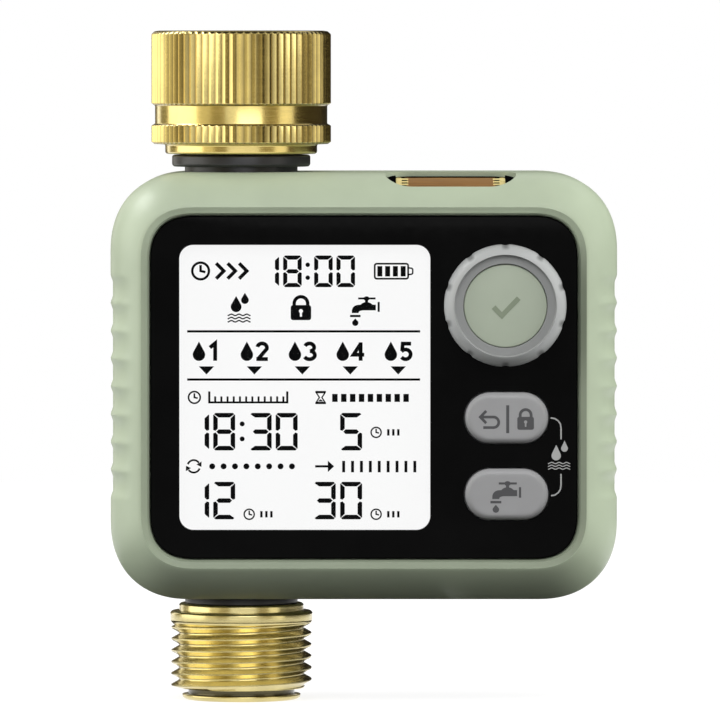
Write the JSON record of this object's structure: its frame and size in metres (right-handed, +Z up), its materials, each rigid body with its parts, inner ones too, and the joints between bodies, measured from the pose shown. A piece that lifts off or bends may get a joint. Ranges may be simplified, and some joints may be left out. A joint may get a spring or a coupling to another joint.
{
  "type": "drip irrigation timer",
  "caption": "Battery tap timer for drip irrigation: swivel thread inlet, motor ball valve in a rounded case with display, dial and push keys, hose thread outlet.",
  "frame": {"origin": "on the inlet axis at the mouth of the inlet thread, where its inner lands start", "axes": "+Z up along the inlet axis towards the tap, -Y out of the front panel, +X to the right seen from the front"},
  "size_m": [0.0965, 0.0488, 0.1282],
  "materials": {
    "sage_plastic": "fine moulded satin, sage green",
    "brass": "turned and knurled, bright",
    "black_plastic": "moulded, satin",
    "panel_black": "glossy black sheet with printed symbols",
    "lens_clear": "clear window",
    "lcd_white": "white backlit display with black segments",
    "dial_grey": "satin grey moulding",
    "cap_sage": "satin pale sage moulding",
    "key_grey": "soft grey moulding",
    "steel": "plain bright",
    "board_green": "green solder mask",
    "sensor_copper": "copper-brown board with gold combs",
    "rubber": "moulded seal",
    "nylon_white": "natural nylon",
    "ptfe_white": "turned seat material",
    "cell_wrap": "plain shrink sleeve",
    "wire_red": "insulated lead"
  },
  "bodies": {
    "case": {"front_shell": "sage_plastic", "rear_shell": "sage_plastic", "case_seal": "rubber", "case_screws": "steel", "fascia_panel": "panel_black", "display_lens": "lens_clear", "lcd_module": "lcd_white", "lcd_holder": "nylon_white", "contact_strips": "rubber", "main_board": "board_green", "tact_switches": "black_plastic", "dial_sensor": "black_plastic", "rain_sensor_board": "sensor_copper", "sensor_seal": "rubber", "sensor_leads": "wire_red", "battery_box": "black_plastic", "battery_cells": "cell_wrap", "battery_contacts": "steel", "battery_leads": "wire_red", "door_hinge_pin": "steel", "inlet_washer": "rubber", "filter_screen": "steel", "inlet_tailpiece": "black_plastic", "thrust_collar": "black_plastic", "pipe_seals": "rubber", "valve_body": "black_plastic", "valve_end": "black_plastic", "ball_seats": "ptfe_white", "motor_bracket": "black_plastic", "gear_motor": "steel", "motor_screws": "steel", "motor_leads": "wire_red", "outlet_fitting": "brass"},
    "inlet_coupling": {"inlet_nut": "brass"},
    "dial": {"dial_ring": "dial_grey", "dial_clip": "steel"},
    "ok_button": {"ok_cap": "cap_sage"},
    "back_button": {"back_key": "key_grey"},
    "tap_button": {"tap_key": "key_grey"},
    "battery_flap": {"battery_door": "sage_plastic", "door_seal": "rubber", "door_screw": "steel"},
    "valve_rotor": {"valve_ball": "steel", "valve_stem": "steel", "stem_seals": "rubber", "valve_gear": "nylon_white", "stem_circlip": "steel"},
    "drive_pinion": {"motor_shaft": "steel", "motor_pinion": "brass"}
  },
  "joints": [
    {"name": "nut_swivel", "type": "hinge", "parent": "case", "child": "inlet_coupling", "pos_m": [0, 0, 0], "axis": [0, 0, 1], "continuous": true},
    {"name": "dial_turn", "type": "hinge", "parent": "case", "child": "dial", "pos_m": [0.0503, -0.02, -0.0513], "axis": [0, -1, 0], "continuous": true},
    {"name": "ok_press", "type": "slide", "parent": "case", "child": "ok_button", "axis": [0, 1, 0], "range_m": [0, 0.0008], "stiffness_N_per_m": 800},
    {"name": "back_press", "type": "slide", "parent": "case", "child": "back_button", "axis": [0, 1, 0], "range_m": [0, 0.0008], "stiffness_N_per_m": 800},
    {"name": "tap_press", "type": "slide", "parent": "case", "child": "tap_button", "axis": [0, 1, 0], "range_m": [0, 0.0008], "stiffness_N_per_m": 800},
    {"name": "flap_hinge", "type": "hinge", "parent": "case", "child": "battery_flap", "pos_m": [0.042, 0.0224, -0.0371], "axis": [1, 0, 0], "range_deg": [0, 100]},
    {"name": "valve_turn", "type": "hinge", "parent": "case", "child": "valve_rotor", "pos_m": [0, 0.016, -0.0619], "axis": [0, 1, 0], "range_deg": [0, 90]},
    {"name": "pinion_spin", "type": "hinge", "parent": "case", "child": "drive_pinion", "pos_m": [0.01808, 0.017, -0.0619], "axis": [0, 1, 0], "range_deg": [-270, 0]}
  ],
  "couplings": [
    {"joint": "pinion_spin", "follows": "valve_turn", "ratio": -3}
  ]
}
